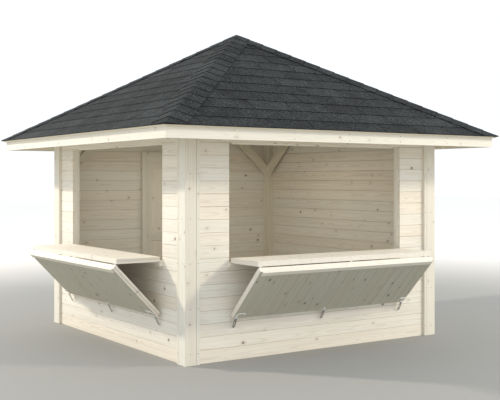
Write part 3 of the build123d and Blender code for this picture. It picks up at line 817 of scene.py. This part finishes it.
NAIL, STUD_NAIL, NAIL_PROUD = 0.0046, 0.003, 0.0005
STUD_NAIL_UP = 0.03       # above and below a board's middle
BATTEN_NAILS = 1.360      # from the middle of a wall
COVER_NAILS = 1.437
TRIM_NAILS = 6
TRIM_NAIL_LOW, TRIM_NAIL_STEP = 0.1, 0.39
FASCIA_NAILS = (0.022, 0.078)
NAIL_LEAN = 0.006         # sideways, for each metre up the fascia
SCREW, SCREW_PROUD, SCREW_DIMPLE = 0.0036, 0.0008, 0.0009
HINGE_SCREW = 0.014       # from a flap's axis to the screws of its hinges
HINGE_SCREW_APART = 0.010
HASP_SCREW = 0.605        # from a flap's axis to the screws of its hasps
HASP_SCREW_APART = 0.008
DOOR_HINGES = (0.250, 0.950, 1.650)
JAMB_SCREW = 0.026        # from the door's axis to the screws in the jamb
JAMB_SCREW_UP = 0.027
DOOR_SCREWS = (0.026, 0.046)


def on_wall(side, out, along, high):
    """A place by its distances out from and along the middle of a side, and its height."""
    return OUTWARD[side] * out + ALONG[side] * along + UP * high


def heads(name, body, spots, radius, proud, dimple=0.0, material=ZINC):
    """Round heads, each at a place with a direction outwards, some with a recess for the driver."""
    shape = bmesh.new()
    for place, out in spots:
        turn = out.to_track_quat("Z", "Y").to_matrix().to_4x4()
        made = bmesh.ops.create_cone(
            shape, cap_ends=True, segments=10, radius1=radius, radius2=radius * 0.7, depth=2 * proud,
            matrix=Matrix.Translation(place) @ turn)["verts"]
        if dimple:
            shape.normal_update()
            top = [face for vert in made for face in vert.link_faces if face.normal.dot(out) > 0.99]
            bmesh.ops.inset_region(
                shape, faces=list(dict.fromkeys(top)), thickness=radius * 0.35, depth=-dimple)
    show(shape, name, body, material)


def nails():
    """Nails in the corner boards and fascias, and small ones where wall boards meet the studs."""
    spots = []
    for side, out in OUTWARD.items():
        for hand in (-1, 1):
            for line in (BATTEN_NAILS, COVER_NAILS):
                for k in range(TRIM_NAILS):
                    high = TRIM_NAIL_LOW + TRIM_NAIL_STEP * k
                    spots.append((on_wall(side, WALL_FACE + TRIM_THICK, hand * line, high), out))
        for rafter in range(-2, 3):
            for up in FASCIA_NAILS:
                along = rafter * RAFTER_STEP + NAIL_LEAN * up
                spots.append((on_wall(side, FASCIA_HALF, along, FASCIA_LOW + up), out))
    heads("nail_heads", "hut", spots, NAIL, NAIL_PROUD, material=NAIL_IRON)
    spots = []
    for side in OPEN_SIDES:
        for row in range(COURSES):
            for hand in (-1, 1):
                for up in (-STUD_NAIL_UP, STUD_NAIL_UP):
                    place = on_wall(side, WALL_FACE, hand * STUD_MIDDLE, (row + 0.5) * COURSE + up)
                    spots.append((place, OUTWARD[side]))
    heads("stud_nail_heads", "hut", spots, STUD_NAIL, NAIL_PROUD)


def leaf_screws(side):
    """Screws in the plates of the hinges between counter and flap, and in the hasps' plates."""
    hang = flap_frame(side)
    face = hang.col[1].xyz
    axis = JOINT_AT[f"{side}_flap_hinge"].dot(OUTWARD[side])
    under_counter = COUNTER_COURSE * COURSE - LEAF_THICK - PLATE
    flap, counter = [], []
    end = LEAF_HALF - HINGE_INSET
    for place in (-end, 0, end):
        for step in (-HINGE_SCREW_APART, HINGE_SCREW_APART):
            spot = hang @ Vector((HINGE_SCREW, FLAP_INNER - LEAF_THICK - PLATE, place + step))
            flap.append((spot, -face))
            counter.append((on_wall(side, axis - HINGE_SCREW, place + step, under_counter), -UP))
    end = LEAF_HALF - HASP_INSET
    for place in (-end, 0, end):
        for step in (-HASP_SCREW_APART, HASP_SCREW_APART):
            flap.append((hang @ Vector((HASP_SCREW, FLAP_INNER + PLATE, place + step)), face))
    heads(f"{side}_flap_screws", f"{side}_flap", flap, SCREW, SCREW_PROUD, SCREW_DIMPLE)
    heads(f"{side}_counter_screws", f"{side}_counter", counter, SCREW, SCREW_PROUD, SCREW_DIMPLE)


def door_screws():
    """Screws in the plates of the door's hinges: three in the jamb and two in the door."""
    axis = JOINT_AT["door_hinge"].x
    face = WALL_FACE + DOOR_PLATE
    jamb, leaf = [], []
    for height in DOOR_HINGES:
        for up in (-JAMB_SCREW_UP, 0, JAMB_SCREW_UP):
            jamb.append((Vector((axis - JAMB_SCREW, face, height + up)), OUTWARD["back"]))
        for along in DOOR_SCREWS:
            leaf.append((Vector((axis + along, face, height)), OUTWARD["back"]))
    heads("hut_hinge_screws", "hut", jamb, SCREW, SCREW_PROUD, SCREW_DIMPLE)
    heads("door_hinge_screws", "door", leaf, SCREW, SCREW_PROUD, SCREW_DIMPLE)


# Stage, light and camera

FLOOR_HALF = 60
# Painted shade: the floor is grey round the hut and fades to nearly white away from it
FLOOR_NEAR_SHADE = (0.29, 0.29, 0.275, 1)
FLOOR_FAR = (0.96, 0.93, 0.87, 1)
FLOOR_FADE = (3.5, 13.0)  # the floor goes from grey to nearly white between these distances
SKY = (0.9, 0.94, 1.0, 1)
SKY_STRENGTH = 1.13
LAMP_AWAY = 14.0
LIT_MIDDLE = Vector((0, 0, 1.2))
WARM_WHITE = (1, 0.91, 0.77)
FRONT_LAMP = (870, 2.0, Vector((0.95, -1, 0.8)))      # power, size and the direction it comes from
SIDE_LAMP = (1400, 0.8, Vector((-1, 0.87, 0.9)))
ROOM_LAMP = (10, 1.8, Vector((0, 0, 2.0)))            # power, size and place
ROOM_WHITE = (1, 0.93, 0.8)
LENS = 65.45
SENSOR = 36
VIEW_SHIFT = -0.04
FARTHEST = 200
VIEWPOINT = Vector((-5.364, -8.282, 1.604))
VIEW_WAY = Vector((0.5560, 0.8312, 0))


def lay_floor():
    """A plain pale floor, grey near the hut as painted shade round it."""
    ground = bmesh.new()
    bmesh.ops.create_grid(ground, x_segments=1, y_segments=1, size=FLOOR_HALF)
    mesh = bpy.data.meshes.new("ground")
    ground.to_mesh(mesh)
    ground.free()
    paint = Finish("floor_with_painted_shade", Roughness=0.9)
    far = paint.between(paint.length(paint.place()), *FLOOR_FADE)
    paint.feed(paint.surface, {"Base_Color": paint.mix(far, FLOOR_NEAR_SHADE, FLOOR_FAR)})
    mesh.materials.append(paint.material)
    floor = bpy.data.objects.new("ground", mesh)
    bpy.context.scene.collection.objects.link(floor)


def lamp(name, power, size, place, target, tint):
    """A round lamp that shines from one place towards another."""
    light = bpy.data.lights.new(name, "AREA")
    light.energy = power
    light.shape = "DISK"
    light.size = size
    light.color = tint
    holder = bpy.data.objects.new(name, light)
    holder.location = place
    holder.rotation_euler = (target - place).to_track_quat("-Z", "Y").to_euler()
    bpy.context.scene.collection.objects.link(holder)
    return holder


def light_up():
    """Soft sky, a lamp for each wall that shows, from beyond its far end, and a weak one in the room.

    The slanting light throws the shadows of the eaves and hatches along the walls. The side wall's
    lamp is the smaller, so its shadows are crisper.
    """
    sky = bpy.data.worlds.new("sky")
    sky.use_nodes = True
    background = sky.node_tree.nodes["Background"]
    background.inputs["Color"].default_value = SKY
    background.inputs["Strength"].default_value = SKY_STRENGTH
    bpy.context.scene.world = sky
    bpy.context.scene.view_settings.view_transform = "Standard"
    for name, (power, size, toward) in {"front_light": FRONT_LAMP, "side_light": SIDE_LAMP}.items():
        lamp(name, power, size, LIT_MIDDLE + toward.normalized() * LAMP_AWAY, LIT_MIDDLE, WARM_WHITE)
    power, size, place = ROOM_LAMP
    lamp("room_light", power, size, place, Vector(), ROOM_WHITE).visible_camera = False


def set_camera():
    camera = bpy.data.cameras.new("photo_view")
    camera.lens = LENS
    camera.sensor_width = SENSOR
    camera.shift_y = VIEW_SHIFT
    camera.clip_end = FARTHEST
    viewer = bpy.data.objects.new("photo_view", camera)
    viewer.location = VIEWPOINT
    viewer.rotation_euler = VIEW_WAY.to_track_quat("-Z", "Y").to_euler()
    bpy.context.scene.collection.objects.link(viewer)
    bpy.context.scene.camera = viewer


# The whole hut

walls()
timbers()
for side in OPEN_SIDES:
    leaves(side)
for side, name in SLOPE_NAMES.items():
    roof_boards(side, name)
for side, name in SLOPE_NAMES.items():
    shingle_slope(side, name)
hip_caps()
ironwork()
door()
nails()
for side in OPEN_SIDES:
    leaf_screws(side)
door_screws()
lay_floor()
light_up()
set_camera()
